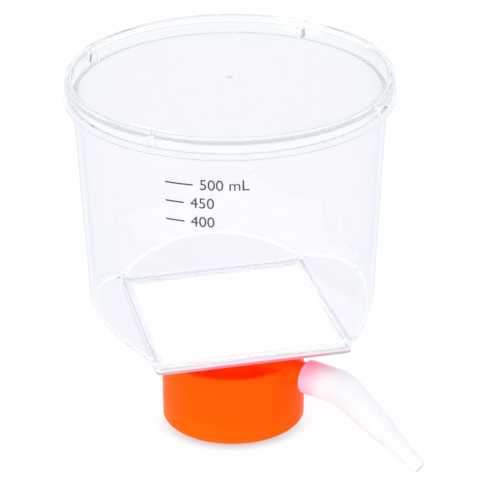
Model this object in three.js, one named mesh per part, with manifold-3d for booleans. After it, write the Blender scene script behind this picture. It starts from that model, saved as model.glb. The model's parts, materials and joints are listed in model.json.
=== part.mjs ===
// Bottle-top vacuum filter: a clear funnel cup with a loose vented lid, a square membrane clamped
// between the cup and a ribbed clear base, and a moulded collar that screws on to a 45 mm bottle
// neck. A side arm on the collar takes a push-on, bent connector for the vacuum hose.
//
// Millimetres, +Z up. The origin is the centre of the collar's bottom rim, on the neck's axis,
// and +X points along the side arm.

import * as THREE from 'three';
import { mergeVertices } from 'three/addons/utils/BufferGeometryUtils.js';
import Module from 'manifold-3d';

const wasm = await Module();
wasm.setup();
const { Manifold, Mesh: SolidMesh } = wasm;
const { degToRad, radToDeg } = THREE.MathUtils;

// ---- Driving dimensions --------------------------------------------------------------------

const seatGap = 0.3;              // between two pieces that rest on or fit in each other
const overcut = 1;                // how far a cutting shape runs past what it cuts

const roundSides = 96;            // facets round the cup and the lid
const collarSides = 72;           // facets round the collar
const tubeSides = 32;             // facets round the small tubes

const neck = {                    // of the bottle
  threadRadius: 22.5,
  clearance: 0.4,
  depth: 15.6,                    // from the collar's bottom rim up to the deck
};

const collar = {
  height: 24.75,                  // to the top of its rim
  skirtWall: 1.6,                 // round the thread
  rimWall: 1.4,                   // round the recess on top
  edge: 0.3,                      // bevel on the outer edges
  leadIn: 0.5,                    // bevel at the neck's mouth
  deckThickness: 1.6,
  hubRadius: 11,
  hubWall: 1.6,
};

const thread = {
  pitch: 4,
  turns: 1.75,
  startZ: 3.6,
  height: 1.25,
  rootWidth: 2.1,
  crestWidth: 0.9,
  runOut: degToRad(25),
  stepsPerTurn: 48,
};

const gasket = { width: 5.9, thickness: 1.2, wallGap: 0.5 };

const sideArm = {
  drop: 1.75,                     // of its axis below the collar's top
  radius: 4.4,
  tipRadius: 4.1,
  bore: 2.6,
  shoulder: 6.5,                  // from the collar's side to where the connector stops
  length: 18.5,                   // from the collar's side to the tip
  webWidth: 2.4,                  // of the web that carries it on the deck
};

const plug = { length: 8, depth: 5, rounding: 0.35 };     // depth is from the side arm's tip

const connector = {
  swivelGap: 0.3,                 // round the side arm
  socketWall: 1.2,
  socketSpare: 0.6,               // beyond the side arm's tip
  elbowOffset: 2.9,               // of the bend's corner beyond the side arm's tip
  bendRadius: 11,
  droop: degToRad(33.1),
  bendShrink: 0.03,               // loss of radius for each millimetre of the bend
  mouthBevel: 0.4,
  shoulder: 8,                    // along the leg from the corner, where the taper starts
  shoulderRadius: 5.25,
  taperEnd: 20,
  taperEndRadius: 4.4,
  stepEnd: 23.6,
  stepRadius: 3.5,
  legLength: 37.2,
  tipRadius: 2.5,
  legBore: 2.9,
  tipBore: 1.5,
  bendSteps: 7,
};

const cup = {
  floorRise: 14.15,               // of the floor's lower edge above the collar's top
  height: 81.1,                   // from there to the rim
  floorRadius: 47.8,              // outside of the round wall at the floor's lower edge
  rimRadius: 51.77,
  wall: 1.5,
  rimChamfer: 0.35,
  floorSlope: degToRad(25.4),
  floorThickness: 1.3,
};

const square = {
  turn: degToRad(49.6),           // from the side arm to a side's normal
  half: 33.3,                     // half the width of the flange
  corner: 2,                      // radius of the flange's corners
  flangeThickness: 1.4,
  border: 3.55,                   // from the flange's edge to the opening over the membrane
  openingCorner: 1.2,
  cornerSteps: 4,
};

const membrane = { margin: 1.75, thickness: 0.2 };        // margin is what the cup clamps

const base = {
  thickness: 1.9,                 // of the outer rim
  pocketDepth: 0.5,               // from the top of the rim to the land under the membrane
  landWidth: 2.6,                 // flat edge round the ribbed floor
  floorDepth: 0.7,                // from the land down to the drained floor
  floorFall: 0.3,                 // the floor's further fall to the drain
  underside: 2.5,                 // from the top of the rim to the plate's underside
  undersideInset: 2.8,
};

const supportRib = { width: 1, pitch: 3.1, channel: 3, first: 4.4 };

const plugRing = { wall: 1.5, armClearance: 1.9 };        // of the base, inside the collar's hub

const spout = { outer: 3.4, bore: 2.4, tipZ: 10, tipBevel: 1.5, tipWall: 0.5, tipSlant: 35 };

const lid = {
  rise: 6.4,                      // of the raised rim's top above the cup's rim
  height: 7.7,
  clearance: 0.84,                // round the cup's rim, under the panel
  shoulderWall: 1.6,              // where the skirt meets the panel
  skirtWall: 1.25,                // at the skirt's lower edge
  draft: 0.0987,                  // growth of the skirt's radius for each millimetre down
  edge: 0.35,
  rimWidth: 2,                    // of the raised rim
  panelDepth: 2,                  // from the top of the rim down to the panel
  panelThickness: 1.1,            // over the cup's rim
  thinning: 0.2,                  // of the panel inside the cup's rim
  thinningInset: 3.4,             // from the skirt to where the panel thins
  dimpleRadius: 1.2,
  dimpleDepth: 0.45,
};

// Four ribs hold the lid off the cup's rim, so that air can get in.
const ventRib = { count: 4, turn: degToRad(8.5), width: 2.4, overhang: 0.4 };

// ---- Levels and fits that follow from the dimensions ---------------------------------------

const neckRadius = neck.threadRadius + neck.clearance;
const collarRadius = neckRadius + collar.skirtWall;
const deckTopZ = neck.depth + collar.deckThickness;
const hubBore = collar.hubRadius - collar.hubWall;

const armZ = collar.height - sideArm.drop;
const armShoulderX = collarRadius + sideArm.shoulder;
const armTipX = collarRadius + sideArm.length;
const elbowX = armTipX + connector.elbowOffset;
const socketRadius = sideArm.radius + connector.swivelGap;
const connectorRadius = socketRadius + connector.socketWall;
const bendTangent = connector.bendRadius * Math.tan(connector.droop / 2);

const cupFloorZ = collar.height + cup.floorRise;
const cupRimZ = cupFloorZ + cup.height;
const cupDraft = (cup.rimRadius - cup.floorRadius) / cup.height;
const cupRadiusAt = (z) => cup.floorRadius + (z - cupFloorZ) * cupDraft;

const openingHalf = square.half - square.border;
const membraneHalf = openingHalf + membrane.margin;
const flangeUnderZ = cupFloorZ - square.flangeThickness;
const membraneTopZ = flangeUnderZ - seatGap;
const landZ = membraneTopZ - membrane.thickness - seatGap;
const baseTopZ = landZ + base.pocketDepth;
const baseBottomZ = baseTopZ - base.thickness;
const plateUnderZ = baseTopZ - base.underside;
const hubTopZ = plateUnderZ - seatGap;

const lidTopZ = cupRimZ + lid.rise;
const lidSkirtZ = lidTopZ - lid.height;
const panelTopZ = lidTopZ - lid.panelDepth;
const panelUnderZ = panelTopZ - lid.panelThickness;
const lidShoulderRadius = cup.rimRadius + lid.clearance;
const lidRadiusAt = (z) => lidShoulderRadius + lid.shoulderWall + (panelUnderZ - z) * lid.draft;

// ---- Materials -----------------------------------------------------------------------------

const plastic = (color, roughness, opacity = 1) => new THREE.MeshStandardMaterial({
  color, roughness, metalness: 0, opacity, transparent: opacity < 1,
});

const materials = {
  clearStyrene: plastic(0xf4f6fb, 0.08, 0.3),
  orangePlastic: plastic(0xff6205, 0.35),
  nylonMembrane: plastic(0xfdfdfd, 0.8),
  softTubing: plastic(0xf6f3f8, 0.4, 0.8),
  sealFoam: plastic(0xf0efea, 0.7),
  cotton: plastic(0xf8f8f4, 0.95),
};

// ---- Solids --------------------------------------------------------------------------------

function solidFromGeometry(geometry) {
  const bare = new THREE.BufferGeometry();
  bare.setAttribute('position', geometry.getAttribute('position'));
  if (geometry.index) bare.setIndex(geometry.index);
  const merged = mergeVertices(bare, 1e-4);
  const index = merged.index.array;
  const triangles = [];
  for (let i = 0; i < index.length; i += 3) {
    const [a, b, c] = [index[i], index[i + 1], index[i + 2]];
    if (a !== b && b !== c && c !== a) triangles.push(a, b, c);
  }
  return new Manifold(new SolidMesh({
    numProp: 3,
    vertProperties: new Float32Array(merged.getAttribute('position').array),
    triVerts: new Uint32Array(triangles),
  }));
}

function geometryFromSolid(solid) {
  const { vertProperties, triVerts } = solid.getMesh();
  const geometry = new THREE.BufferGeometry();
  geometry.setAttribute('position', new THREE.BufferAttribute(new Float32Array(vertProperties), 3));
  geometry.setIndex(new THREE.BufferAttribute(new Uint32Array(triVerts), 1));
  geometry.computeVertexNormals();
  return geometry;
}

// Turns a closed outline of [radius, z] points, anticlockwise in that plane, about the Z axis.
function revolve(outline, sides) {
  const points = [...outline, outline[0]].map(([radius, z]) => new THREE.Vector2(radius, z));
  const geometry = new THREE.LatheGeometry(points, sides);
  geometry.rotateX(Math.PI / 2);
  return solidFromGeometry(geometry);
}

// Joins rings of equally many points into one closed skin, with a flat cap at each end. Each
// ring runs anticlockwise when it is seen from the ring that follows it.
function loft(rings) {
  const sides = rings[0].length;
  const positions = rings.flat().flatMap((point) => point.toArray());
  const triangles = [];
  for (let ring = 0; ring < rings.length - 1; ring += 1) {
    for (let i = 0; i < sides; i += 1) {
      const a = ring * sides + i;
      const b = ring * sides + ((i + 1) % sides);
      triangles.push(a, b, b + sides, a, b + sides, a + sides);
    }
  }
  const last = (rings.length - 1) * sides;
  for (let i = 1; i < sides - 1; i += 1) {
    triangles.push(0, i + 1, i, last, last + i, last + i + 1);
  }
  const geometry = new THREE.BufferGeometry();
  geometry.setAttribute('position', new THREE.Float32BufferAttribute(positions, 3));
  geometry.setIndex(triangles);
  return solidFromGeometry(geometry);
}

function circle(radius, z, sides) {
  return Array.from({ length: sides }, (_, i) => {
    const angle = (i / sides) * 2 * Math.PI;
    return new THREE.Vector3(radius * Math.cos(angle), radius * Math.sin(angle), z);
  });
}

function roundedSquare(half, corner, z) {
  const quarterTurn = Math.PI / 2;
  const points = [];
  for (let quarter = 0; quarter < 4; quarter += 1) {
    const diagonal = (quarter + 0.5) * quarterTurn;
    const reach = Math.SQRT2 * (half - corner);
    for (let step = 0; step <= square.cornerSteps; step += 1) {
      const angle = (quarter + step / square.cornerSteps) * quarterTurn;
      points.push(new THREE.Vector3(
        reach * Math.cos(diagonal) + corner * Math.cos(angle),
        reach * Math.sin(diagonal) + corner * Math.sin(angle),
        z,
      ));
    }
  }
  return points;
}

const frustum = (r0, z0, r1, z1, sides) => loft([circle(r0, z0, sides), circle(r1, z1, sides)]);

const squarePrism = (half, corner, z0, z1) => (
  loft([roundedSquare(half, corner, z0), roundedSquare(half, corner, z1)])
);

function box(width, depth, z0, z1, x = 0, y = 0) {
  const geometry = new THREE.BoxGeometry(width, depth, z1 - z0);
  geometry.translate(x, y, (z0 + z1) / 2);
  return solidFromGeometry(geometry);
}

// A round bar along the side arm's axis, from a list of [x, radius] stations.
function armBar(stations) {
  return loft(stations.map(([x, radius]) => (
    circle(radius, 0, tubeSides).map((p) => new THREE.Vector3(x, p.x, armZ + p.y))
  )));
}

// ---- The cup -------------------------------------------------------------------------------

// A drafted round cup whose four sloping floor panels run down to the square flange. The panels
// are planes, so each meets the round wall in an arch.
function makeFunnelCup() {
  const hopper = (half, corner, z0) => {
    const rise = cup.height + overcut;
    const spread = rise / Math.tan(cup.floorSlope);
    return loft([roundedSquare(half, corner, z0), roundedSquare(half + spread, corner, z0 + rise)]);
  };

  const outerWall = loft([
    circle(cup.floorRadius, cupFloorZ, roundSides),
    circle(cupRadiusAt(cupRimZ - cup.rimChamfer), cupRimZ - cup.rimChamfer, roundSides),
    circle(cup.rimRadius - cup.rimChamfer, cupRimZ, roundSides),
  ]);
  const flange = squarePrism(square.half, square.corner, flangeUnderZ, cupFloorZ);
  const outside = outerWall.intersect(hopper(square.half, square.corner, cupFloorZ)).add(flange);

  // The floor panels keep their thickness, so the inner hopper starts higher at the opening.
  const openingZ = cupFloorZ - square.border * Math.tan(cup.floorSlope)
    + cup.floorThickness / Math.cos(cup.floorSlope);
  const innerRadiusAt = (z) => cupRadiusAt(z) - cup.wall;
  const lowZ = flangeUnderZ - overcut;
  const highZ = cupRimZ + overcut;
  const innerWall = frustum(innerRadiusAt(lowZ), lowZ, innerRadiusAt(highZ), highZ, roundSides);
  const opening = squarePrism(openingHalf, square.openingCorner, lowZ, openingZ + seatGap);
  const inside = hopper(openingHalf, square.openingCorner, openingZ).add(opening);
  return outside.subtract(innerWall.intersect(inside));
}

// ---- The membrane and the base -------------------------------------------------------------

function makeMembrane() {
  const underZ = membraneTopZ - membrane.thickness;
  return squarePrism(membraneHalf, square.openingCorner, underZ, membraneTopZ);
}

// Rings of short ribs under the membrane, broken at the corners and at the middle of each side,
// so that what passes the membrane runs to the drain.
function supportRibs(floorHalf, bottomZ) {
  const ribs = [];
  for (let half = supportRib.first; half < floorHalf - supportRib.width; half += supportRib.pitch) {
    const length = half - supportRib.channel / 2 - supportRib.width;
    for (let side = 0; side < 4; side += 1) {
      for (const end of [-1, 1]) {
        const middle = (end * (supportRib.channel + length)) / 2;
        const rib = box(length, supportRib.width, bottomZ, landZ, middle, half);
        ribs.push(rib.rotate([0, 0, side * 90]));
      }
    }
  }
  return ribs;
}

// The tube under the drain, cut off on the slant so that drops leave it at one point.
function dripSpout() {
  const topZ = plateUnderZ + seatGap;
  const tube = revolve([
    [spout.bore, spout.tipZ], [spout.bore + spout.tipWall, spout.tipZ],
    [spout.outer, spout.tipZ + spout.tipBevel], [spout.outer, topZ], [spout.bore, topZ],
  ], tubeSides);
  const slant = box(4 * spout.outer, 4 * spout.outer, -spout.outer, 0)
    .rotate([spout.tipSlant, 0, 0])
    .translate([0, 0, spout.tipZ]);
  return tube.subtract(slant);
}

// A square tray with a clamping land, the ribbed floor, the ring that plugs into the collar's
// hub, and the drip spout.
function makeFilterBase() {
  const pocketHalf = membraneHalf + seatGap;
  const floorHalf = pocketHalf - base.landWidth;
  const floorEdgeZ = landZ - base.floorDepth;
  const floorMiddleZ = floorEdgeZ - base.floorFall;

  const rim = squarePrism(square.half, square.corner, baseBottomZ, baseTopZ);
  const plateHalf = square.half - base.undersideInset;
  const plate = squarePrism(plateHalf, square.corner, plateUnderZ, baseBottomZ + seatGap);
  const pocket = squarePrism(pocketHalf, square.openingCorner, landZ, baseTopZ + overcut);
  const floor = loft([
    roundedSquare(spout.bore, square.openingCorner, floorMiddleZ),
    roundedSquare(floorHalf, square.openingCorner, floorEdgeZ),
    roundedSquare(floorHalf, square.openingCorner, landZ + overcut),
  ]);

  const ringOuter = hubBore - seatGap;
  const ringInner = ringOuter - plugRing.wall;
  const ringBottomZ = armZ + sideArm.bore + plugRing.armClearance;
  const ring = revolve([
    [ringInner, ringBottomZ], [ringOuter, ringBottomZ],
    [ringOuter, plateUnderZ + seatGap], [ringInner, plateUnderZ + seatGap],
  ], collarSides);
  const drain = frustum(spout.bore, plateUnderZ - overcut, spout.bore, landZ, tubeSides);

  let tray = rim.add(plate).subtract(pocket).subtract(floor);
  for (const rib of supportRibs(floorHalf, floorMiddleZ - seatGap)) tray = tray.add(rib);
  return tray.add(ring).add(dripSpout()).subtract(drain);
}

// ---- The collar and its gasket -------------------------------------------------------------

// One helical ridge inside the skirt, which fades into the wall at both ends.
function threadRidge() {
  const total = thread.turns * 2 * Math.PI;
  const steps = Math.round(thread.turns * thread.stepsPerTurn);
  const root = neckRadius + collar.skirtWall / 3;
  const sections = [];
  for (let step = 0; step <= steps; step += 1) {
    const angle = (step / steps) * total;
    const fade = Math.min(1, angle / thread.runOut, (total - angle) / thread.runOut);
    const crest = neckRadius + seatGap - fade * (thread.height + seatGap);
    const z = thread.startZ + (angle / (2 * Math.PI)) * thread.pitch;
    const outline = [
      [root, z - thread.rootWidth / 2], [crest, z - thread.crestWidth / 2],
      [crest, z + thread.crestWidth / 2], [root, z + thread.rootWidth / 2],
    ];
    sections.push(outline.map(([radius, height]) => (
      new THREE.Vector3(radius * Math.cos(angle), radius * Math.sin(angle), height)
    )));
  }
  return loft(sections);
}

// A threaded skirt, the deck that the neck seals under, a rim and a hub that stand on the deck,
// and the side arm, whose bore opens into the hub beside the spout.
function makeNeckCollar() {
  const recessRadius = collarRadius - collar.rimWall;
  const shell = revolve([
    [neckRadius + collar.leadIn, 0], [collarRadius - collar.edge, 0],
    [collarRadius, collar.edge], [collarRadius, collar.height - collar.edge],
    [collarRadius - collar.edge, collar.height], [recessRadius, collar.height],
    [recessRadius, deckTopZ], [collar.hubRadius, deckTopZ],
    [collar.hubRadius, hubTopZ], [hubBore, hubTopZ],
    [hubBore, neck.depth], [neckRadius, neck.depth], [neckRadius, collar.leadIn],
  ], collarSides);

  const armStartX = (hubBore + collar.hubRadius) / 2;
  const arm = armBar([
    [armStartX, sideArm.radius], [armShoulderX, sideArm.radius], [armTipX, sideArm.tipRadius],
  ]);
  const webEndX = collarRadius - collar.rimWall / 2;
  const web = box(
    webEndX - armStartX, sideArm.webWidth,
    deckTopZ - collar.deckThickness / 2, armZ, (armStartX + webEndX) / 2,
  );
  const bore = armBar([
    [(spout.outer + hubBore) / 2, sideArm.bore], [armTipX + overcut, sideArm.bore],
  ]);
  return shell.add(threadRidge()).add(arm).add(web).subtract(bore);
}

function makeGasket() {
  const outer = neckRadius - gasket.wallGap;
  const inner = outer - gasket.width;
  const topZ = neck.depth - seatGap;
  const underZ = topZ - gasket.thickness;
  return revolve([[inner, underZ], [outer, underZ], [outer, topZ], [inner, topZ]], collarSides);
}

// ---- The plug and the hose connector -------------------------------------------------------

function makePortPlug() {
  const radius = sideArm.bore - seatGap;
  const endX = armTipX - plug.depth;
  const startX = endX - plug.length;
  return armBar([
    [startX, radius - plug.rounding], [startX + plug.rounding, radius],
    [endX - plug.rounding, radius], [endX, radius - plug.rounding],
  ]);
}

// The connector's centre line: straight along the side arm, round the elbow and down the leg.
// Gives the place and the downward tilt at a distance from the elbow's corner.
function connectorLine(distance) {
  if (distance <= -bendTangent) return { x: elbowX + distance, z: armZ, tilt: 0 };
  if (distance >= bendTangent) {
    return {
      x: elbowX + distance * Math.cos(connector.droop),
      z: armZ - distance * Math.sin(connector.droop),
      tilt: connector.droop,
    };
  }
  const tilt = connector.droop * (distance / bendTangent + 1) / 2;
  return {
    x: elbowX - bendTangent + connector.bendRadius * Math.sin(tilt),
    z: armZ - connector.bendRadius * (1 - Math.cos(tilt)),
    tilt,
  };
}

// A round bar along that line, from a list of [distance, radius] stations.
function connectorBar(stations) {
  return loft(stations.map(([distance, radius]) => {
    const { x, z, tilt } = connectorLine(distance);
    return circle(radius, 0, tubeSides).map((p) => new THREE.Vector3(
      x + p.y * Math.sin(tilt), p.x, z + p.y * Math.cos(tilt),
    ));
  }));
}

// A soft bent tube: a socket over the side arm, an elbow, and a leg that tapers and steps down
// to the tip that the vacuum hose is pushed on to.
function makeHoseConnector() {
  const start = armShoulderX + seatGap - elbowX;
  const socketEnd = armTipX + connector.socketSpare - elbowX;
  const bend = Array.from({ length: connector.bendSteps + 1 }, (_, i) => (
    bendTangent * ((2 * i) / connector.bendSteps - 1)
  ));

  const outside = connectorBar([
    [start, connectorRadius - connector.mouthBevel],
    [start + connector.mouthBevel, connectorRadius],
    ...bend.map((at) => [at, connectorRadius - connector.bendShrink * (at + bendTangent)]),
    [connector.shoulder, connector.shoulderRadius],
    [connector.taperEnd, connector.taperEndRadius],
    [connector.stepEnd, connector.stepRadius],
    [connector.legLength, connector.tipRadius],
  ]);
  const socket = connectorBar([[start - overcut, socketRadius], [socketEnd, socketRadius]]);
  const channel = connectorBar([
    [socketEnd - overcut, connector.legBore],
    ...bend.filter((at) => at > socketEnd).map((at) => [at, connector.legBore]),
    [connector.taperEnd, connector.legBore],
    [connector.legLength + overcut, connector.tipBore],
  ]);
  return outside.subtract(socket).subtract(channel);
}

// ---- The lid -------------------------------------------------------------------------------

// A panel sunk inside a raised rim, a drafted skirt, and the ribs it rests on.
function makeLid() {
  const topRadius = lidRadiusAt(lidTopZ);
  const skirtRadius = lidRadiusAt(lidSkirtZ);
  const rimInner = topRadius - lid.rimWidth;
  const thinRadius = lidShoulderRadius - lid.thinningInset;
  const shell = revolve([
    [0, panelUnderZ + lid.thinning], [thinRadius, panelUnderZ + lid.thinning],
    [thinRadius, panelUnderZ], [lidShoulderRadius, panelUnderZ],
    [skirtRadius - lid.skirtWall, lidSkirtZ], [skirtRadius - lid.edge, lidSkirtZ],
    [lidRadiusAt(lidSkirtZ + lid.edge), lidSkirtZ + lid.edge],
    [lidRadiusAt(lidTopZ - lid.edge), lidTopZ - lid.edge], [topRadius - lid.edge, lidTopZ],
    [rimInner + lid.edge, lidTopZ], [rimInner, lidTopZ - lid.edge],
    [rimInner - lid.edge, panelTopZ], [0, panelTopZ],
  ], roundSides);
  const dimple = loft([
    circle(lid.dimpleRadius / 3, panelTopZ - lid.dimpleDepth, tubeSides),
    circle(lid.dimpleRadius, panelTopZ, tubeSides),
    circle(lid.dimpleRadius, panelTopZ + overcut, tubeSides),
  ]);

  const ribInner = cup.rimRadius - cup.wall - ventRib.overhang;
  const ribOuter = lidShoulderRadius + lid.shoulderWall / 2;
  const ribTopZ = panelUnderZ + lid.panelThickness / 2;
  let body = shell.subtract(dimple);
  for (let i = 0; i < ventRib.count; i += 1) {
    const rib = box(
      ribOuter - ribInner, ventRib.width, cupRimZ + seatGap, ribTopZ, (ribInner + ribOuter) / 2,
    );
    body = body.add(rib.rotate([0, 0, radToDeg(ventRib.turn) + (i * 360) / ventRib.count]));
  }
  return body;
}

// ---- Assembly ------------------------------------------------------------------------------

function piece(name, solid, material) {
  const mesh = new THREE.Mesh(geometryFromSolid(solid), material);
  mesh.name = name;
  return mesh;
}

const squareStack = new THREE.Group();
squareStack.rotation.z = square.turn;
squareStack.add(
  piece('funnel_cup', makeFunnelCup(), materials.clearStyrene),
  piece('filter_membrane', makeMembrane(), materials.nylonMembrane),
  piece('filter_base', makeFilterBase(), materials.clearStyrene),
);

const filterUnit = new THREE.Group();
filterUnit.add(
  squareStack,
  piece('lid', makeLid(), materials.clearStyrene),
  piece('neck_collar', makeNeckCollar(), materials.orangePlastic),
  piece('neck_gasket', makeGasket(), materials.sealFoam),
  piece('port_plug', makePortPlug(), materials.cotton),
  piece('hose_connector', makeHoseConnector(), materials.softTubing),
);

export default filterUnit;
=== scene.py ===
# Bottle-top vacuum filter: clear funnel cup and lid, white membrane, orange neck collar and a
# bent white hose connector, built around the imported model.
import json
import math

import bpy
from mathutils import Matrix, Vector

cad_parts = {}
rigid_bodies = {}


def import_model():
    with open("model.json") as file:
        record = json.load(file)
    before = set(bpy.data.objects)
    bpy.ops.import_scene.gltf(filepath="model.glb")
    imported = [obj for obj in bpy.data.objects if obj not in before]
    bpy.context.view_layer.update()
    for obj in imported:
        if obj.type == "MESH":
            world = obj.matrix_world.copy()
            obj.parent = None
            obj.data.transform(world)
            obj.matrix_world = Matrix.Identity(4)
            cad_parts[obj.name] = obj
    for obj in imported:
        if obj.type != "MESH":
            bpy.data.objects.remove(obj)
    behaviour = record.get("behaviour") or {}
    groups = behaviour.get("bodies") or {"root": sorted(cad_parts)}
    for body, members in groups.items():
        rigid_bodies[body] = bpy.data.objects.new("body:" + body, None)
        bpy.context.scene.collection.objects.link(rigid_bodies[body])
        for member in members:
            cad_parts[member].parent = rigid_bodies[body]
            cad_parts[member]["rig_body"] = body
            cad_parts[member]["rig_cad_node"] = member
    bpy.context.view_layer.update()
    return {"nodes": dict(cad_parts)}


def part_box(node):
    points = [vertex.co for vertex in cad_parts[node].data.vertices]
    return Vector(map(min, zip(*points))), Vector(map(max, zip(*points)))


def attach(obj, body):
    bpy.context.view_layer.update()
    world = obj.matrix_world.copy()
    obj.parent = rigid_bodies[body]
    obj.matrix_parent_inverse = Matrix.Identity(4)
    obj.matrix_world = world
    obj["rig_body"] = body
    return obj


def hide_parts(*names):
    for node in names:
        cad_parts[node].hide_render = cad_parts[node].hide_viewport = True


mm = 0.001
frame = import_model()
print("frame loaded:", len(frame["nodes"]), "nodes")

squareTurn = math.radians(49.6)  # from the side arm to a side of the square
squareSteps = 5  # facets of a square's rounded corner
hair = 0.001 * mm  # overlap of joined solids, and slack in a test of position
overrun = 1 * mm  # how far a cutting solid stands past what it cuts
mergeWithin = 0.002 * mm
flatWithin = math.radians(0.5)
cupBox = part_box("funnel_cup")
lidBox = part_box("lid")
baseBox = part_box("filter_base")

view = {
    "target": (0.00334, 0.00247, 0.06388),
    "distance": 0.86472,
    "azimuth": math.radians(36.5),
    "elevation": math.radians(25.82),
    "roll": math.radians(-0.51),
    "lens": 188.76,
    "sensor": 36,
    "clipStart": 0.01,
    "clipEnd": 50,
}


def addCamera():
    bpy.ops.object.camera_add()
    camera = bpy.context.object
    camera.name = "productCamera"
    camera.data.lens = view["lens"]
    camera.data.sensor_width = view["sensor"]
    camera.data.clip_start = view["clipStart"]
    camera.data.clip_end = view["clipEnd"]
    around, above = view["azimuth"], view["elevation"]
    level = math.cos(above)
    forward = Vector((-math.sin(around) * level, math.cos(around) * level, -math.sin(above)))
    right = Vector((math.cos(around), math.sin(around), 0))
    up = right.cross(forward)
    tiltedRight = right * math.cos(view["roll"]) + up * math.sin(view["roll"])
    tiltedUp = up * math.cos(view["roll"]) - right * math.sin(view["roll"])
    turn = Matrix((tiltedRight, tiltedUp, -forward)).transposed().to_4x4()
    place = Vector(view["target"]) - forward * view["distance"]
    camera.matrix_world = Matrix.Translation(place) @ turn
    bpy.context.scene.camera = camera


addCamera()
print("camera placed")


def clearSelection():
    if bpy.context.object and bpy.context.object.mode != "OBJECT":
        bpy.ops.object.mode_set(mode="OBJECT")
    bpy.ops.object.select_all(action="DESELECT")


def makeActive(piece):
    clearSelection()
    piece.select_set(True)
    bpy.context.view_layer.objects.active = piece


def settle(piece, name):
    # the place goes into the mesh and the object stays at the origin
    makeActive(piece)
    bpy.ops.object.transform_apply(location=True, rotation=True, scale=True)
    piece.name = name
    piece.data.name = name
    return piece


def applyModifier(piece, kind, **settings):
    makeActive(piece)
    step = piece.modifiers.new(kind.lower(), kind)
    for key, value in settings.items():
        setattr(step, key, value)
    bpy.ops.object.modifier_apply(modifier=step.name)
    return piece


def cut(piece, tool, operation="DIFFERENCE"):
    applyModifier(piece, "BOOLEAN", operation=operation, solver="EXACT", object=tool)
    bpy.data.objects.remove(tool)
    return piece


def selectEdges(piece, wanted):
    # the edges whose two ends pass the test, left selected in edit mode
    makeActive(piece)
    bpy.ops.object.mode_set(mode="EDIT")
    bpy.ops.mesh.select_mode(type="EDGE")
    bpy.ops.mesh.select_all(action="DESELECT")
    bpy.ops.object.mode_set(mode="OBJECT")
    vertices = piece.data.vertices
    for edge in piece.data.edges:
        a, b = (vertices[i].co for i in edge.vertices)
        edge.select = wanted(a, b)
    bpy.ops.object.mode_set(mode="EDIT")


def selectUpper(piece, height):
    # the vertices above a height, left selected in edit mode
    makeActive(piece)
    bpy.ops.object.mode_set(mode="EDIT")
    bpy.ops.mesh.select_all(action="DESELECT")
    bpy.ops.object.mode_set(mode="OBJECT")
    for vertex in piece.data.vertices:
        vertex.select = vertex.co.z > height
    bpy.ops.object.mode_set(mode="EDIT")


def roundEdges(piece, wanted, rounding, slot=-1):
    # rounding is a width and its number of facets
    selectEdges(piece, wanted)
    width, segments = rounding
    bpy.ops.mesh.bevel(offset=width, segments=segments, affect="EDGES", clamp_overlap=False,
                       material=slot)
    bpy.ops.object.mode_set(mode="OBJECT")
    return piece


def smooth(piece, degrees=30):
    makeActive(piece)
    bpy.ops.object.shade_smooth_by_angle(angle=math.radians(degrees))
    return applyModifier(piece, "WEIGHTED_NORMAL", keep_sharp=True, weight=50)


def closeSeams(piece, name):
    # merged where ends meet, with faces outwards
    bpy.ops.mesh.select_all(action="SELECT")
    bpy.ops.mesh.remove_doubles(threshold=mergeWithin)
    bpy.ops.mesh.normals_make_consistent(inside=False)
    bpy.ops.object.mode_set(mode="OBJECT")
    return settle(piece, name)


def spinSection(name, section, sides):
    # a closed section of (radius, height) points, drawn by extruding a vertex, then spun
    clearSelection()
    bpy.ops.mesh.primitive_plane_add(size=mm)
    piece = bpy.context.object
    bpy.ops.object.mode_set(mode="EDIT")
    bpy.ops.mesh.select_mode(type="VERT")
    bpy.ops.mesh.select_all(action="SELECT")
    bpy.ops.mesh.merge(type="CENTER")
    radius, height = section[0]
    bpy.ops.transform.translate(value=(radius, 0, height))
    onAxis = section[0][0] == 0 and section[-1][0] == 0
    for nextRadius, nextHeight in section[1:] + ([] if onAxis else section[:1]):
        bpy.ops.mesh.extrude_region_move(
            TRANSFORM_OT_translate={"value": (nextRadius - radius, 0, nextHeight - height)}
        )
        radius, height = nextRadius, nextHeight
    bpy.ops.mesh.select_all(action="SELECT")
    bpy.ops.mesh.spin(steps=sides, angle=2 * math.pi, center=(0, 0, 0), axis=(0, 0, 1))
    return closeSeams(piece, name)


def addCone(radiusLow, radiusHigh, low, high, sides):
    clearSelection()
    bpy.ops.mesh.primitive_cone_add(
        vertices=sides, radius1=radiusLow, radius2=radiusHigh, depth=high - low,
        location=(0, 0, (low + high) / 2),
    )
    return settle(bpy.context.object, "cone")


def addSquare(half, corner, low, high):
    # a square block with rounded upright edges, turned to the flange's place
    clearSelection()
    bpy.ops.mesh.primitive_cube_add(size=1, location=(0, 0, (low + high) / 2))
    block = bpy.context.object
    block.scale = (2 * half, 2 * half, high - low)
    settle(block, "block")
    roundEdges(block, lambda a, b: abs(a.z - b.z) > (high - low) / 2, (corner, squareSteps))
    block.rotation_euler.z = squareTurn
    return settle(block, "block")


def copyOfNode(node, name):
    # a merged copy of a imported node, with its flat faces joined up
    source = frame["nodes"][node]
    piece = source.copy()
    piece.data = source.data.copy()
    piece.parent = None
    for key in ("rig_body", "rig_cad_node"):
        if key in piece:
            del piece[key]
    bpy.context.scene.collection.objects.link(piece)
    makeActive(piece)
    bpy.ops.mesh.customdata_custom_splitnormals_clear()
    bpy.ops.object.mode_set(mode="EDIT")
    bpy.ops.mesh.select_all(action="SELECT")
    bpy.ops.mesh.remove_doubles(threshold=mergeWithin)
    bpy.ops.mesh.dissolve_limited(angle_limit=flatWithin)
    bpy.ops.object.mode_set(mode="OBJECT")
    piece.data.materials.clear()
    return settle(piece, name)


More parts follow.
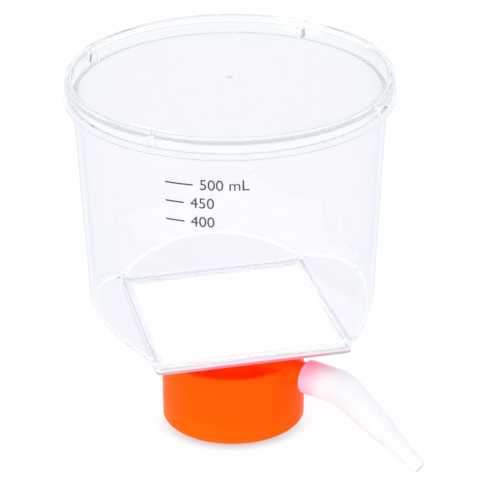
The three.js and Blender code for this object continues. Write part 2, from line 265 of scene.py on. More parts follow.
def finishPiece(piece, material, body, slot, *nodes):
    piece.data.materials.clear()
    piece.data.materials.append(material)
    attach(piece, body)
    if nodes:
        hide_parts(*nodes)
    print("made", piece.name, len(piece.data.polygons), "faces")
    return piece


def setInputs(tree, node, values):
    # another node's output is linked, and anything else is set on the node's own socket
    for name, value in values.items():
        socket = node.inputs[name]
        if isinstance(value, bpy.types.NodeSocket):
            tree.links.new(value, socket)
        elif socket.type == "RGBA":
            socket.default_value = (*value, 1)
        else:
            socket.default_value = value


def addNode(tree, kind, values, **settings):
    node = tree.nodes.new("ShaderNode" + kind)
    for name, value in settings.items():
        setattr(node, name, value)
    setInputs(tree, node, values)
    return node


def objectPlace(tree):
    return addNode(tree, "TexCoord", {}).outputs["Object"]


def splitPlace(tree, place):
    return addNode(tree, "SeparateXYZ", {"Vector": place}).outputs


def addMath(tree, operation, *values, **settings):
    node = addNode(tree, "Math", dict(enumerate(values)), operation=operation, **settings)
    return node.outputs["Value"]


def addVectorMath(tree, operation, *values):
    return addNode(tree, "VectorMath", dict(enumerate(values)), operation=operation).outputs


def addRange(tree, value, low, high, toLow=0, toHigh=1, curve="LINEAR"):
    # from toLow to toHigh while the value goes from low to high
    node = addNode(tree, "MapRange", {
        "Value": value, "From Min": low, "From Max": high, "To Min": toLow, "To Max": toHigh,
    }, interpolation_type=curve)
    return node.outputs["Result"]


def mixColours(tree, share, first, second):
    node = addNode(tree, "Mix", {"Factor": share, "A": first, "B": second}, data_type="RGBA")
    return node.outputs["Result"]


def mixValues(tree, share, first, second):
    node = addNode(tree, "Mix", {"Factor": share, "A": first, "B": second})
    return node.outputs["Result"]


def makeRippleGroup():
    # slow waviness of a moulded wall, with fine grain on top, as a height
    group = bpy.data.node_groups.new("mouldedRipple", "ShaderNodeTree")
    for name in ("Wave Scale", "Grain Scale", "Grain"):
        group.interface.new_socket(name=name, in_out="INPUT", socket_type="NodeSocketFloat")
    group.interface.new_socket(name="Height", in_out="OUTPUT", socket_type="NodeSocketFloat")
    inlet, outlet = group.nodes.new("NodeGroupInput"), group.nodes.new("NodeGroupOutput")
    place = objectPlace(group)
    wave = addNode(group, "TexNoise", {
        "Vector": place, "Scale": inlet.outputs["Wave Scale"], "Detail": 1.0,
    })
    grain = addNode(group, "TexNoise", {
        "Vector": place, "Scale": inlet.outputs["Grain Scale"], "Detail": 2.0,
    })
    height = mixValues(group, inlet.outputs["Grain"], wave.outputs["Fac"], grain.outputs["Fac"])
    group.links.new(height, outlet.inputs["Height"])
    return group


rippleGroup = makeRippleGroup()


def startMaterial(name):
    material = bpy.data.materials.new(name)
    material.use_nodes = True
    return material, material.node_tree, material.node_tree.nodes["Principled BSDF"]


def addRipple(tree, shader, ripple):
    # ripple is the waves per metre, the grains per metre, the grain's share and the height
    waveScale, grainScale, grain, height = ripple
    bumps = addNode(tree, "Group", {}, node_tree=rippleGroup)
    setInputs(tree, bumps, {"Wave Scale": waveScale, "Grain Scale": grainScale, "Grain": grain})
    bump = addNode(tree, "Bump", {
        "Strength": 1.0, "Distance": height, "Height": bumps.outputs["Height"],
    })
    tree.links.new(bump.outputs["Normal"], shader.inputs["Normal"])


def makePlainMaterial(name, colour, roughness, ripple, glow=0.0):
    # one colour all over, with an even painted white glow that stands in for light coming through
    # where it is thin
    material, tree, shader = startMaterial(name)
    setInputs(tree, shader, {
        "Base Color": colour, "Roughness": roughness,
        "Emission Color": (1, 1, 1), "Emission Strength": glow,
    })
    addRipple(tree, shader, ripple)
    return material


styreneLook = {
    "cupTint": (0.976, 0.975, 0.999),
    "cupFilm": (0.9875, 0.991, 0.994),
    "flangeTint": (0.988, 0.99, 0.994),
    "flangeTop": 39.0 * mm,
    "flangeFade": 0.4 * mm,
    "lidTint": (0.988, 0.993, 0.998),
    "lidFilm": (0.992, 0.9945, 0.9965),
    "roughness": 0.03,
    "ior": 1.59,
    "absorb": (0.42, 0.46, 0.5),
    "density": 5.5,
    # painted light: the glint is a painted highlight on the rounded arches, and its share a painted
    # glow from inward faces
    "glint": 0.1,  # strength of the light on the rounded arches
    "paintedTrappedLight": 0.024,  # share of it that every inward face gives off
    "outlineFrom": 0.6,  # the glint fades out from here to the outline
    "outlineFull": 0.88,
    "ripple": (35.0, 500.0, 0.05, 0.02 * mm),
}


def makeStyreneMaterial(name, tint, lowTint, film):
    # clear and plain in the thin flange; above it a faint film on the outside darkens the wall
    # where it is seen along its face
    material, tree, shader = startMaterial(name)
    height = splitPlace(tree, objectPlace(tree))["Z"]
    flangeTop = styreneLook["flangeTop"]
    above = addRange(tree, height, flangeTop, flangeTop + styreneLook["flangeFade"])
    inward = addNode(tree, "NewGeometry", {}).outputs["Backfacing"]
    # painted highlight: the rounds where floor and wall meet give off a white glow, but not on the
    # outline, and every inward face gives off a little painted light in place of light caught
    # inside the plastic
    paintedGlintFaces = addNode(tree, "Attribute", {}, attribute_name="archGlint").outputs["Fac"]
    facing = addNode(tree, "LayerWeight", {}).outputs["Facing"]
    broad = addRange(tree, facing, styreneLook["outlineFull"], styreneLook["outlineFrom"])
    glint = addMath(tree, "MULTIPLY", paintedGlintFaces, broad)
    setInputs(tree, shader, {
        "Base Color": mixColours(tree, above, lowTint, tint),
        "Roughness": styreneLook["roughness"],
        "IOR": styreneLook["ior"],
        "Transmission Weight": 1.0,
        "Coat Weight": addMath(tree, "SUBTRACT", above, inward, use_clamp=True),
        "Coat IOR": 1.0,  # the film tints and doesn't shine
        "Coat Tint": film,
        "Emission Color": addMath(tree, "MULTIPLY_ADD", inward, styreneLook["paintedTrappedLight"], glint),
        "Emission Strength": styreneLook["glint"],
    })
    addRipple(tree, shader, styreneLook["ripple"])
    absorb = addNode(tree, "VolumeAbsorption", {
        "Color": styreneLook["absorb"], "Density": styreneLook["density"],
    })
    outlet = tree.nodes["Material Output"]
    tree.links.new(absorb.outputs["Volume"], outlet.inputs["Volume"])
    return material


cupStyrene = makeStyreneMaterial(
    "cupStyrene", styreneLook["cupTint"], styreneLook["flangeTint"], styreneLook["cupFilm"])
lidStyrene = makeStyreneMaterial(
    "lidStyrene", styreneLook["lidTint"], styreneLook["lidTint"], styreneLook["lidFilm"])

membraneLook = {
    "colour": (0.97, 0.975, 0.975),
    "roughness": 0.75,
    # painted glow: an even white emission that lightens the whole sheet, also used by the seam
    "glow": 0.14,
    "ripple": (60.0, 6000.0, 0.5, 0.02 * mm),
}
membraneWeb = makePlainMaterial("membraneWeb", **membraneLook)

trayLook = {
    "colour": (0.985, 0.975, 0.995),
    # painted light: the collar's orange on the lower edge, and a dimmer lilac towards the corners
    "paintedOrangeLight": (0.86, 0.24, 0.38),
    "paintedCornerLight": (0.62, 0.54, 0.64),
    "paintedOrangeLow": 36.0 * mm,
    "paintedOrangeHigh": 36.4 * mm,
    "paintedCornerFrom": 35.0 * mm,
    "paintedCornerFull": 43.0 * mm,
    "roughness": 0.12,
    "clear": 0.25,
    "glow": 0.05,
    "ripple": (50.0, 700.0, 0.2, 0.04 * mm),
}


def makeTrayMaterial():
    # painted light: the collar's orange is painted into the tray's lower edge, dimmer and lilac
    # towards the corners, and the tray gives off a painted glow in its own colours
    material, tree, shader = startMaterial("trayStyrene")
    place = objectPlace(tree)
    flat = addVectorMath(tree, "MULTIPLY", place, (1, 1, 0))["Vector"]
    reach = addVectorMath(tree, "LENGTH", flat)["Value"]
    corner = addRange(tree, reach, trayLook["paintedCornerFrom"], trayLook["paintedCornerFull"])
    height = splitPlace(tree, place)["Z"]
    upper = addRange(tree, height, trayLook["paintedOrangeLow"], trayLook["paintedOrangeHigh"])
    edge = mixColours(tree, corner, trayLook["paintedOrangeLight"], trayLook["paintedCornerLight"])
    wall = mixColours(tree, upper, edge, trayLook["colour"])
    setInputs(tree, shader, {
        "Base Color": wall,
        "Roughness": trayLook["roughness"],
        "IOR": styreneLook["ior"],
        "Transmission Weight": trayLook["clear"],
        "Emission Color": wall,
        "Emission Strength": trayLook["glow"],
    })
    addRipple(tree, shader, trayLook["ripple"])
    return material


trayStyrene = makeTrayMaterial()

weldLook = {
    "colour": (0.97, 0.97, 0.975),
    # painted shade: the darker line along the seam's outer edge
    "edge": (0.68, 0.62, 0.7),
    "edgeFrom": 32.6 * mm,
    "edgeFull": 32.7 * mm,
    "roughness": 0.6,
    "glow": membraneLook["glow"],
    "ripple": (200.0, 3000.0, 0.5, 0.03 * mm),
}


def makeWeldMaterial():
    # white, with a painted shade line along its outer edge and a painted white glow
    material, tree, shader = startMaterial("weldBloom")
    turned = addNode(tree, "Mapping", {
        "Vector": objectPlace(tree), "Rotation": (0, 0, -squareTurn),
    })
    size = addVectorMath(tree, "ABSOLUTE", turned.outputs["Vector"])["Vector"]
    sides = splitPlace(tree, size)
    across = addMath(tree, "MAXIMUM", sides["X"], sides["Y"])
    edge = addRange(tree, across, weldLook["edgeFrom"], weldLook["edgeFull"])
    seamAndPaintedShade = mixColours(tree, edge, weldLook["colour"], weldLook["edge"])
    setInputs(tree, shader, {
        "Base Color": seamAndPaintedShade,
        "Roughness": weldLook["roughness"],
        "Emission Color": seamAndPaintedShade,
        "Emission Strength": weldLook["glow"],
    })
    addRipple(tree, shader, weldLook["ripple"])
    return material


weldBloom = makeWeldMaterial()

collarLook = {
    "colour": (1.0, 0.128, 0.001),
    "deep": (1.0, 0.102, 0.0),
    "foot": (1.0, 0.15, 0.003),
    "footFrom": 1 * mm,
    "footEnd": 9 * mm,
    "streakScale": 170.0,
    "streakDetail": 3.0,
    "streakLength": 0.12,
    "roughness": 0.3,
    "ior": 1.5,
    "specular": 0.02,
    # painted glow: a red emission all over that lightens the shaded recess under the tray
    "glow": (1.0, 0.03, 0.0),
    "glowStrength": 0.22,
    "ripple": (60.0, 1400.0, 0.4, 0.03 * mm),
}


def makeCollarMaterial():
    # upright flow streaks, a paler foot, and a painted red glow all over that lightens the shaded
    # recess
    material, tree, shader = startMaterial("orangePlastic")
    place = objectPlace(tree)
    stretched = addNode(tree, "Mapping", {
        "Vector": place, "Scale": (1, 1, collarLook["streakLength"]),
    })
    streaks = addNode(tree, "TexNoise", {
        "Vector": stretched.outputs["Vector"],
        "Scale": collarLook["streakScale"],
        "Detail": collarLook["streakDetail"],
    })
    body = mixColours(tree, streaks.outputs["Fac"], collarLook["colour"], collarLook["deep"])
    height = splitPlace(tree, place)["Z"]
    foot = addRange(tree, height, collarLook["footFrom"], collarLook["footEnd"])
    setInputs(tree, shader, {
        "Base Color": mixColours(tree, foot, collarLook["foot"], body),
        "Roughness": collarLook["roughness"],
        "IOR": collarLook["ior"],
        "Specular IOR Level": collarLook["specular"],
        "Emission Color": collarLook["glow"],
        "Emission Strength": collarLook["glowStrength"],
    })
    addRipple(tree, shader, collarLook["ripple"])
    return material


orangePlastic = makeCollarMaterial()

tubingLook = {
    "milk": (0.925, 0.935, 0.965),
    # painted light: pink next to the orange arm, and a warm glow fading out past it
    "paintedOrangeLight": (1.0, 0.54, 0.71),
    "paintedOrangeEnd": 36.9 * mm,
    "paintedOrangeFade": 4.2 * mm,
    "paintedWarmGlow": (0.85, 0.62, 0.72),
    "glow": 0.15,
    "glowEnd": 48 * mm,
    "roughness": 0.35,
    "ior": 1.42,
    "clear": 0.06,
    "ripple": (120.0, 2500.0, 0.4, 0.03 * mm),
}


def makeTubingMaterial():
    # milky, with painted pink next to the orange arm for its light showing through, and a painted
    # warm glow a little past it
    material, tree, shader = startMaterial("softTubing")
    along = splitPlace(tree, objectPlace(tree))["X"]
    paintedOrangeFrom = tubingLook["paintedOrangeEnd"] - tubingLook["paintedOrangeFade"]
    paintedOrangeTo = tubingLook["paintedOrangeEnd"] + tubingLook["paintedOrangeFade"]
    fade = addRange(tree, along, paintedOrangeFrom, paintedOrangeTo, curve="SMOOTHSTEP")
    reach = addRange(tree, along, paintedOrangeFrom, tubingLook["glowEnd"])
    setInputs(tree, shader, {
        "Base Color": mixColours(tree, fade, tubingLook["paintedOrangeLight"], tubingLook["milk"]),
        "Roughness": tubingLook["roughness"],
        "IOR": tubingLook["ior"],
        "Transmission Weight": tubingLook["clear"],
        "Emission Color": mixColours(tree, reach, tubingLook["paintedWarmGlow"], (0, 0, 0)),
        "Emission Strength": tubingLook["glow"],
    })
    addRipple(tree, shader, tubingLook["ripple"])
    return material


softTubing = makeTubingMaterial()

inkLook = {
    "colour": (0.035, 0.04, 0.042),
    "roughness": 0.5,
    "ripple": (200.0, 2500.0, 0.5, 0.01 * mm),
}
foamLook = {
    "colour": (0.88, 0.87, 0.85),
    "roughness": 0.8,
    "ripple": (300.0, 3000.0, 0.6, 0.08 * mm),
}
cottonLook = {
    "colour": (0.92, 0.92, 0.9),
    "roughness": 0.95,
    "ripple": (900.0, 4000.0, 0.5, 0.15 * mm),
}
greyInk = makePlainMaterial("greyInk", **inkLook)
sealFoam = makePlainMaterial("sealFoam", **foamLook)
cottonFibre = makePlainMaterial("cottonFibre", **cottonLook)
print("materials made")


# a round is its width and its number of facets
cup = {
    "floorRadius": 47.8 * mm,
    "rimRadius": 51.77 * mm,
    "floorZ": 38.9 * mm,
    "wall": 1.5 * mm,
    "rimRound": (0.25 * mm, 4),
    "slope": math.radians(25.4),
    "floorThickness": 1.3 * mm,
    "flangeHalf": 33.3 * mm,
    "flangeCorner": 2.0 * mm,
    "flangeRound": (0.18 * mm, 3),
    "openingHalf": 29.75 * mm,
    "openingCorner": 1.2 * mm,
    "archOutside": (1.2 * mm, 8),
    "archInside": (0.8 * mm, 6),
    "archRise": 1.2 * mm,  # an arch starts this far above the floor's foot
    "archTop": 90 * mm,  # and ends below this height
    "archLength": 0.5 * mm,  # its edges are longer than this
    "onWall": 0.2 * mm,  # and this near the wall's face
    "sides": 240,
    "smoothAngle": 25,
}


def addHopper(half, corner, low, high):
    # a block whose upper face is widened until its sides lie on the slope of the floor
    block = addSquare(half, corner, low, high)
    spread = 1 + (high - low) / math.tan(cup["slope"]) / half
    selectUpper(block, (low + high) / 2)
    bpy.ops.transform.resize(value=(spread, spread, 1), center_override=(0, 0, high))
    bpy.ops.object.mode_set(mode="OBJECT")
    return block


def roundArches(piece, radiusAt, foot, rounding, slot=-1):
    # the edges where the sloping floor meets the round wall
    def onArch(a, b):
        if min(a.z, b.z) < foot + cup["archRise"] or max(a.z, b.z) > cup["archTop"]:
            return False
        near = all(abs(math.hypot(p.x, p.y) - radiusAt(p.z)) < cup["onWall"] for p in (a, b))
        return near and math.hypot(a.x - b.x, a.y - b.y) > cup["archLength"]

    return roundEdges(piece, onArch, rounding, slot)


def makeCup():
    rimZ = cupBox[1].z
    flangeZ = cupBox[0].z
    floorZ = cup["floorZ"]
    draft = (cup["rimRadius"] - cup["floorRadius"]) / (rimZ - floorZ)
    top = rimZ + overrun
    low = flangeZ - overrun

    def outerAt(z):
        return cup["floorRadius"] + (z - floorZ) * draft

    def innerAt(z):
        return outerAt(z) - cup["wall"]

    def onFoot(a, b):
        return max(a.z, b.z) < flangeZ + hair

    def onRim(a, b):
        reach = max(math.hypot(p.x, p.y) for p in (a, b))
        return min(a.z, b.z) > rimZ - hair and reach < innerAt(rimZ) + cup["onWall"]

    body = addCone(cup["floorRadius"], cup["rimRadius"], floorZ, rimZ, cup["sides"])
    cut(body, addHopper(cup["flangeHalf"], cup["flangeCorner"], floorZ, top), "INTERSECT")
    roundArches(body, outerAt, floorZ, cup["archOutside"])
    flange = addSquare(cup["flangeHalf"], cup["flangeCorner"], flangeZ, floorZ + hair)
    roundEdges(flange, onFoot, cup["flangeRound"])
    cut(body, flange, "UNION")

    openingZ = floorZ - (cup["flangeHalf"] - cup["openingHalf"]) * math.tan(cup["slope"])
    openingZ += cup["floorThickness"] / math.cos(cup["slope"])
    openingHalf, openingCorner = cup["openingHalf"], cup["openingCorner"]
    inside = addCone(innerAt(low), innerAt(top), low, top, cup["sides"])
    cut(inside, addHopper(openingHalf, openingCorner, openingZ, top), "INTERSECT")
    for solid in (body, inside):  # the second slot marks the rounds until they are an attribute
        solid.data.materials.append(cupStyrene)
        solid.data.materials.append(lidStyrene)
    roundArches(inside, innerAt, openingZ, cup["archInside"], slot=1)
    cut(inside, addSquare(openingHalf, openingCorner, low, openingZ + hair), "UNION")
    cut(body, inside)
    roundEdges(body, onRim, cup["rimRound"])

    piece = settle(body, "funnelCup")
    smooth(piece, cup["smoothAngle"])
    faces = piece.data.polygons
    # the inner rounds' faces are marked for the painted highlight of the clear plastic
    glint = piece.data.attributes.new("archGlint", "FLOAT", "FACE")
    glint.data.foreach_set("value", [float(face.material_index) for face in faces])
    faces.foreach_set("material_index", [0] * len(faces))
    return finishPiece(piece, cupStyrene, "filter_body", "clear_styrene", "funnel_cup")


makeCup()


lid = {
    "shoulderRadius": 52.61 * mm,
    "shoulderWall": 1.6 * mm,
    "skirtWall": 1.25 * mm,
    "draft": 0.0987,
    "rimWidth": 2.0 * mm,
    "rimLean": 0.3 * mm,
    "panelDepth": 2.0 * mm,
    "panelThickness": 1.1 * mm,
    "thinning": 0.2 * mm,
    "cornerRound": 0.7 * mm,
    "cornerSteps": 6,
    "edgeRound": (0.16 * mm, 3),
    "edgeAngle": math.radians(40),
    # the gate's dimple in the middle of the panel, as radius and depth
    "gate": [(2.0 * mm, 0), (1.3 * mm, 0.04 * mm), (0.9 * mm, 0.14 * mm),
             (0.5 * mm, 0.24 * mm), (0.2 * mm, 0.28 * mm), (0, 0.28 * mm)],
    "ribs": 4,
    "ribTurn": math.radians(8.5),
    "ribWidth": 2.55 * mm,
    "ribTaper": 0.88,
    "ribInner": 49.87 * mm,
    "ribGap": 0.3 * mm,
    "ribRound": (0.2 * mm, 2),
    "sides": 192,
    "smoothAngle": 35,
}


def addRib(inner, outer, low, high, turn):
    # narrower downwards and inwards, with the edges of its inner face rounded
    middle = Vector(((inner + outer) / 2, 0, (low + high) / 2))
    clearSelection()
    bpy.ops.mesh.primitive_cube_add(size=1)
    rib = bpy.context.object
    rib.scale = (outer - inner, lid["ribWidth"], high - low)
    rib.location = middle
    settle(rib, "rib")
    for corner in rib.data.vertices:
        if corner.co.z < middle.z:
            corner.co.y *= lid["ribTaper"]
        if corner.co.x < middle.x:
            corner.co.y *= lid["ribTaper"]
    roundEdges(rib, lambda a, b: max(a.x, b.x) < middle.x, lid["ribRound"])
    rib.rotation_euler.z = turn
    return settle(rib, "rib")


def makeLid():
    low, high = lidBox[0].z, lidBox[1].z
    panelTop = high - lid["panelDepth"]
    panelUnder = panelTop - lid["panelThickness"]
    thinUnder = panelUnder + lid["thinning"]

    def radiusAt(z):
        return lid["shoulderRadius"] + lid["shoulderWall"] + (panelUnder - z) * lid["draft"]

    rimInner = radiusAt(high) - lid["rimWidth"]
    bend = lid["cornerRound"]
    section = [(0, thinUnder)]
    for step in range(lid["cornerSteps"] + 1):  # rounded into the skirt
        turn = math.pi / 2 * step / lid["cornerSteps"]
        section.append((lid["shoulderRadius"] - bend * (1 - math.sin(turn)),
                        thinUnder - bend * (1 - math.cos(turn))))
    section += [
        (radiusAt(low) - lid["skirtWall"], low), (radiusAt(low), low),
        (radiusAt(high), high), (rimInner, high), (rimInner - lid["rimLean"], panelTop),
    ]
    section += [(radius, panelTop - depth) for radius, depth in lid["gate"]]
    piece = spinSection("ventedLid", section, lid["sides"])
    width, segments = lid["edgeRound"]
    applyModifier(piece, "BEVEL", width=width, segments=segments, limit_method="ANGLE",
                  angle_limit=lid["edgeAngle"], use_clamp_overlap=True)

    ribLow = cupBox[1].z + lid["ribGap"]
    ribHigh = panelUnder + lid["panelThickness"] / 2
    ribOuter = lid["shoulderRadius"] + lid["shoulderWall"] / 2
    for i in range(lid["ribs"]):
        turn = lid["ribTurn"] + i * 2 * math.pi / lid["ribs"]
        cut(piece, addRib(lid["ribInner"], ribOuter, ribLow, ribHigh, turn), "UNION")
    smooth(piece, lid["smoothAngle"])
    return finishPiece(piece, lidStyrene, "filter_body", "clear_styrene", "lid")


makeLid()


# bite: how far the seam and the membrane reach into their neighbours
weld = {"outside": 33.1 * mm, "inside": 31.75 * mm, "bite": 0.02 * mm}


def makeTray():
    piece = copyOfNode("filter_base", "filterTray")
    smooth(piece)
    return finishPiece(piece, trayStyrene, "filter_body", "clear_styrene", "filter_base")


def makeMembrane():
    # clamped wet against the flange, so its top stands a little into the flange's underside
    piece = copyOfNode("filter_membrane", "membraneSheet")
    low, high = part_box("filter_membrane")
    selectUpper(piece, (low.z + high.z) / 2)
    bpy.ops.transform.translate(value=(0, 0, cupBox[0].z + weld["bite"] - high.z))
    bpy.ops.object.mode_set(mode="OBJECT")
    smooth(piece)
    return finishPiece(piece, membraneWeb, "filter_body", "membrane", "filter_membrane")


def makeWeld():
    # the milky seam that joins the flange to the tray, round the membrane
    low, high = baseBox[1].z - weld["bite"], cupBox[0].z + weld["bite"]
    piece = addSquare(weld["outside"], cup["flangeCorner"], low, high)
    cut(piece, addSquare(weld["inside"], cup["openingCorner"], low - overrun, high + overrun))
    return finishPiece(settle(piece, "weldSeam"), weldBloom, "filter_body", "clear_styrene")


def makeCollar():
    piece = copyOfNode("neck_collar", "neckCollar")
    smooth(piece)
    return finishPiece(piece, orangePlastic, "filter_body", "orange_plastic", "neck_collar")


printed = {
    "azimuth": math.radians(-60),
    "standOff": 60,  # millimetres from the axis, before a mark is pressed on
    "proud": 0.04 * mm,
    "thickness": 0.03 * mm,
    "size": 5.2 * mm,
    "left": -15.0 * mm,
    "gap": 2.0 * mm,
    "tickWidth": 0.5 * mm,
    "tickSteps": 16,
    # height, words and tick; each stands where the cup, filled from the membrane, holds as much
    "rows": [(108.7 * mm, "500 mL", 9.0 * mm), (102.2 * mm, "450", 6.0 * mm),
             (95.6 * mm, "400", 6.0 * mm)],
}


def placeMark(mark, across, height):
    # stood up in front of the wall, then pressed on to it
    around = printed["azimuth"]
    outward = Vector((math.cos(around), math.sin(around), 0))
    sideways = Vector((-math.sin(around), math.cos(around), 0))
    mark.rotation_euler = (math.pi / 2, 0, around + math.pi / 2)
    mark.location = outward * printed["standOff"] * mm + sideways * across
    mark.location += Vector((0, 0, height))
    applyModifier(mark, "SHRINKWRAP", target=bpy.data.objects["funnelCup"], wrap_method="PROJECT",
                  use_project_z=True, use_positive_direction=False, use_negative_direction=True,
                  offset=printed["proud"])
    return settle(mark, "mark")


def makeVolumeScale():
    marks = []
    for height, label, tick in printed["rows"]:
        clearSelection()
        bpy.ops.mesh.primitive_grid_add(x_subdivisions=printed["tickSteps"], y_subdivisions=1,
                                        size=1)
        line = bpy.context.object
        line.scale = (tick, printed["tickWidth"], 1)
        makeActive(line)
        bpy.ops.object.transform_apply(location=False, rotation=False, scale=True)
        marks.append(placeMark(line, printed["left"] + tick / 2, height))
        clearSelection()
        bpy.ops.object.text_add()
        words = bpy.context.object
        words.data.body = label
        words.data.size = printed["size"]
        words.data.align_y = "CENTER"
        bpy.ops.object.convert(target="MESH")
        marks.append(placeMark(bpy.context.object, printed["left"] + tick + printed["gap"], height))
    clearSelection()
    for mark in marks:
        mark.select_set(True)
    bpy.context.view_layer.objects.active = marks[0]
    bpy.ops.object.join()
    piece = settle(bpy.context.object, "volumeScale")
    applyModifier(piece, "SOLIDIFY", thickness=printed["thickness"], offset=1)
    return finishPiece(piece, greyInk, "filter_body", "clear_styrene")


makeTray()
makeMembrane()
makeWeld()
makeVolumeScale()
makeCollar()


connector = {
    "armZ": 23.0 * mm,
    "elbowX": 45.9 * mm,
    "bendRadius": 11.0 * mm,
    "droop": math.radians(33.1),
    # distance along the centre line from the elbow's corner and radius there, in millimetres
    "outside": [(-14.6, 5.62), (-14.3, 5.9), (-3.27, 5.9), (3.27, 5.7), (8, 5.25), (20, 4.4),
                (23.6, 3.5), (37.0, 2.52), (37.2, 2.42)],
    "socket": [(-16, 4.7), (-2.3, 4.7)],
    "bore": [(-3.3, 2.9), (20, 2.9), (38.5, 1.5)],
    "spacing": 0.8,
    "bevelResolution": 16,
}


def lineAt(distance):
    # the place on the connector's centre line, from the elbow's corner
    tangent = connector["bendRadius"] * math.tan(connector["droop"] / 2)
    x, z, droop = connector["elbowX"], connector["armZ"], connector["droop"]
    if distance <= -tangent:
        return Vector((x + distance, 0, z))
    if distance >= tangent:
        return Vector((x + distance * math.cos(droop), 0, z - distance * math.sin(droop)))
    tilt = droop * (distance / tangent + 1) / 2
    return Vector((x - tangent + connector["bendRadius"] * math.sin(tilt), 0,
                   z - connector["bendRadius"] * (1 - math.cos(tilt))))


def radiusAlong(stations, mark):
    # straight between the two stations around the mark
    pairs = zip(stations, stations[1:])
    (d0, r0), (d1, r1) = next(pair for pair in pairs if mark <= pair[1][0])
    return r0 + (r1 - r0) * (mark - d0) / (d1 - d0)


def sweepTube(name, stations):
    # a curve along the centre line whose point radii follow the stations, made a mesh
    clearSelection()
    bpy.ops.curve.primitive_nurbs_path_add()
    curve = bpy.context.object.data
    curve.splines.clear()
    first, last = stations[0][0], stations[-1][0]
    spacing = connector["spacing"]
    count = max(2, round((last - first) / spacing))
    marks = [station[0] for station in stations]
    for i in range(1, count):  # none so near another that the ring there is skewed
        mark = first + (last - first) * i / count
        if min(abs(mark - other) for other in marks) > spacing / 4:
            marks.append(mark)
    marks.sort()
    spline = curve.splines.new("POLY")
    spline.points.add(len(marks) - 1)
    for point, mark in zip(spline.points, marks):
        point.co = (*lineAt(mark * mm), 1)
        point.radius = radiusAlong(stations, mark) * mm
    curve.dimensions = "3D"
    curve.bevel_depth = 1.0
    curve.bevel_resolution = connector["bevelResolution"]
    curve.use_fill_caps = True
    bpy.ops.object.convert(target="MESH")
    bpy.ops.object.mode_set(mode="EDIT")
    return closeSeams(bpy.context.object, name)


def makeConnector():
    piece = sweepTube("hoseConnector", connector["outside"])
    cut(piece, sweepTube("socket", connector["socket"]))
    cut(piece, sweepTube("bore", connector["bore"]))
    smooth(piece)
    return finishPiece(piece, softTubing, "connector_body", "soft_tubing", "hose_connector")


makeConnector()

for node, material in (("neck_gasket", sealFoam), ("port_plug", cottonFibre)):
    frame["nodes"][node].data.materials.clear()
    frame["nodes"][node].data.materials.append(material)


studio = {
    "floorSize": 12.0,
    "floorColour": 0.9,
    "floorRoughness": 0.9,
    "floorWhite": 1.015,
    "floorGlow": 0.93,
    # the painted contact shadow close under the collar: its reach, where it starts, how deep, on
    # which side, and its fades towards the front and outwards
    "contactReach": 5.5 * mm,
    "contactSamples": 16,
    "contactFrom": 0.5,
    "contactDim": 0.58,
    "contactSide": (0.595, -0.804, 0),
    "contactFront": (3 * mm, 21 * mm),
    "contactRing": (38 * mm, 32 * mm),
    "dome": 1.0,
    "skyTop": (0.68, 0.69, 0.70),
    "skyFrom": 0.16,
    "skyFull": 0.75,
    "lampPlace": (-0.5, -1.1, 1.3),
    "lampAim": (0, 0, 0.06),
    "lampSize": 0.9,
    "lampEnergy": 7,
    "deepBounces": 96,
}


def makeFloor():
    clearSelection()
    bpy.ops.mesh.primitive_plane_add(size=studio["floorSize"])
    floor = settle(bpy.context.object, "paleFloor")
    material, tree, shader = startMaterial("palePaper")
    setInputs(tree, shader, {
        "Base Color": (studio["floorColour"],) * 3,
        "Roughness": studio["floorRoughness"],
        "Specular IOR Level": 0.0,
    })
    # most of what the camera and the clear plastic see of it is plain white, with a painted shadow
    # close under the object, and the rest is lit
    contact = addNode(tree, "AmbientOcclusion", {"Distance": studio["contactReach"]},
                      samples=studio["contactSamples"])
    dimmed = addRange(tree, contact.outputs["AO"], studio["contactFrom"], 1,
                      studio["contactDim"], studio["floorWhite"])
    # the painted shadow is on the collar's front only
    place = objectPlace(tree)
    side = addVectorMath(tree, "DOT_PRODUCT", place, studio["contactSide"])["Value"]
    apart = addVectorMath(tree, "LENGTH", place)["Value"]
    front = addRange(tree, side, *studio["contactFront"])
    near = addRange(tree, apart, *studio["contactRing"])
    where = addMath(tree, "MULTIPLY", front, near)
    white = addNode(tree, "Emission", {
        "Strength": mixValues(tree, where, studio["floorWhite"], dimmed),
    })
    path = addNode(tree, "LightPath", {}).outputs
    mirrored = addMath(tree, "MAXIMUM", path["Is Glossy Ray"], path["Is Transmission Ray"])
    seen = addMath(tree, "MAXIMUM", mirrored, path["Is Camera Ray"])
    mix = addNode(tree, "MixShader", {
        0: addMath(tree, "MULTIPLY", seen, studio["floorGlow"]),
        1: shader.outputs["BSDF"],
        2: white.outputs["Emission"],
    })
    outlet = tree.nodes["Material Output"]
    tree.links.new(mix.outputs["Shader"], outlet.inputs["Surface"])
    floor.data.materials.append(material)


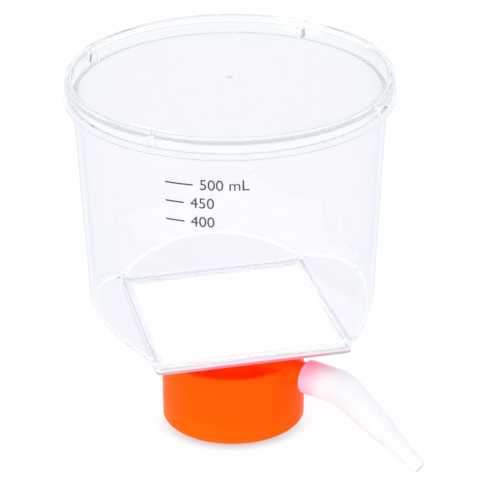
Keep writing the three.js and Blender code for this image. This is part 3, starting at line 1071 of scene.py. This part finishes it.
def makeWorld():
    world = bpy.data.worlds.new("studio")
    bpy.context.scene.world = world
    world.use_nodes = True
    tree = world.node_tree
    dome = tree.nodes["Background"]
    setInputs(tree, dome, {"Color": (1, 1, 1), "Strength": studio["dome"]})
    up = splitPlace(tree, addNode(tree, "TexCoord", {}).outputs["Generated"])["Z"]
    ramp = addNode(tree, "ValToRGB", {"Fac": up})
    level, high = ramp.color_ramp.elements
    level.position, level.color = studio["skyFrom"], (1, 1, 1, 1)
    high.position, high.color = studio["skyFull"], (*studio["skyTop"], 1)
    sky = addNode(tree, "Background", {"Color": ramp.outputs["Color"]})
    white = addNode(tree, "Background", {"Color": (1, 1, 1)})
    # gloss and clear plastic show the sky, but what matt surfaces gather through the clear
    # plastic is the plain dome
    path = addNode(tree, "LightPath", {}).outputs
    either = addMath(tree, "MAXIMUM", path["Is Glossy Ray"], path["Is Transmission Ray"])
    direct = addMath(tree, "LESS_THAN", path["Diffuse Depth"], 0.5)
    lit = addNode(tree, "MixShader", {
        0: addMath(tree, "MULTIPLY", either, direct),
        1: dome.outputs["Background"],
        2: sky.outputs["Background"],
    })
    shown = addNode(tree, "MixShader", {
        0: path["Is Camera Ray"],
        1: lit.outputs["Shader"],
        2: white.outputs["Background"],
    })
    tree.links.new(shown.outputs["Shader"], tree.nodes["World Output"].inputs["Surface"])


def addLamp():
    place, aim = Vector(studio["lampPlace"]), Vector(studio["lampAim"])
    bpy.ops.object.light_add(type="AREA", location=place)
    lamp = bpy.context.object
    lamp.name = "softboxLeft"
    lamp.data.size = studio["lampSize"]
    lamp.data.energy = studio["lampEnergy"]
    lamp.rotation_euler = (aim - place).to_track_quat("-Z", "Y").to_euler()


makeFloor()
makeWorld()
addLamp()

scene = bpy.context.scene
scene.view_settings.view_transform = "Standard"
scene.cycles.max_bounces = studio["deepBounces"]  # the clear walls pass light many times
scene.cycles.transmission_bounces = studio["deepBounces"]
scene.cycles.glossy_bounces = studio["deepBounces"]
scene.cycles.transparent_max_bounces = 24
scene.cycles.diffuse_bounces = 8
scene.cycles.blur_glossy = 0.0
scene.cycles.use_denoising = True
print("studio set")
